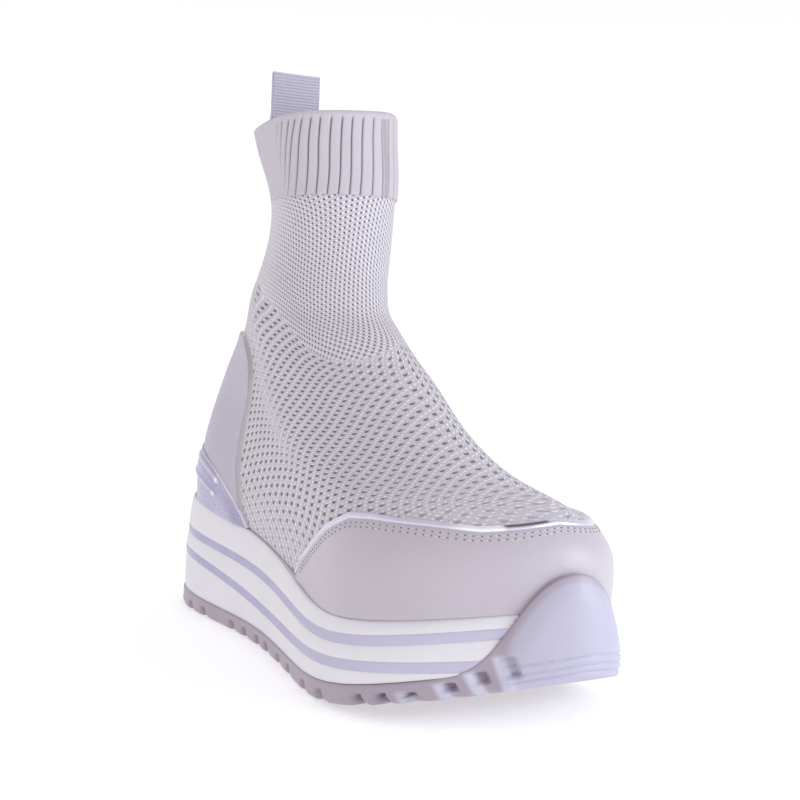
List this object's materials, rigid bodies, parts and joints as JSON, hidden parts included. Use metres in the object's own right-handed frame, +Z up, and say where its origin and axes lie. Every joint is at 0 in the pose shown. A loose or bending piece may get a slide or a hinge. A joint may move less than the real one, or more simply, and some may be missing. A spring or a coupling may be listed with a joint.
{
  "type": "knit ankle boot",
  "caption": "Pull-on ankle boot for a right foot: knitted sock upper with ribbed cuff, smooth toe cap and heel panel, on a striped platform sole with a toothed tread.",
  "frame": {"origin": "middle of the sole's outline box on the floor", "axes": "+X from heel to toe, +Y to the wearer's left (inner side), +Z up"},
  "size_m": [0.2854, 0.1045, 0.2615],
  "materials": {
    "rubber": "satin taupe lilac rubber",
    "foam": "smooth off-white moulded foam",
    "stripe_foil": "satin metallic lilac",
    "footbed": "plain woven lining",
    "knit": "matte knit",
    "toe_leather": "smooth satin",
    "trim_foil": "polished metallic lilac",
    "heel_leather": "smooth satin",
    "clip_plastic": "satin metallic lilac",
    "webbing": "ribbed webbing"
  },
  "bodies": {
    "root": {"outsole": "rubber", "midsole": "foam", "stripe_lower": "stripe_foil", "stripe_upper": "stripe_foil", "insole": "footbed", "upper": "knit", "toe_cap": "toe_leather", "toe_trim": "trim_foil", "heel_counter": "heel_leather", "heel_clip": "clip_plastic", "pull_loop": "webbing"}
  },
  "joints": []
}
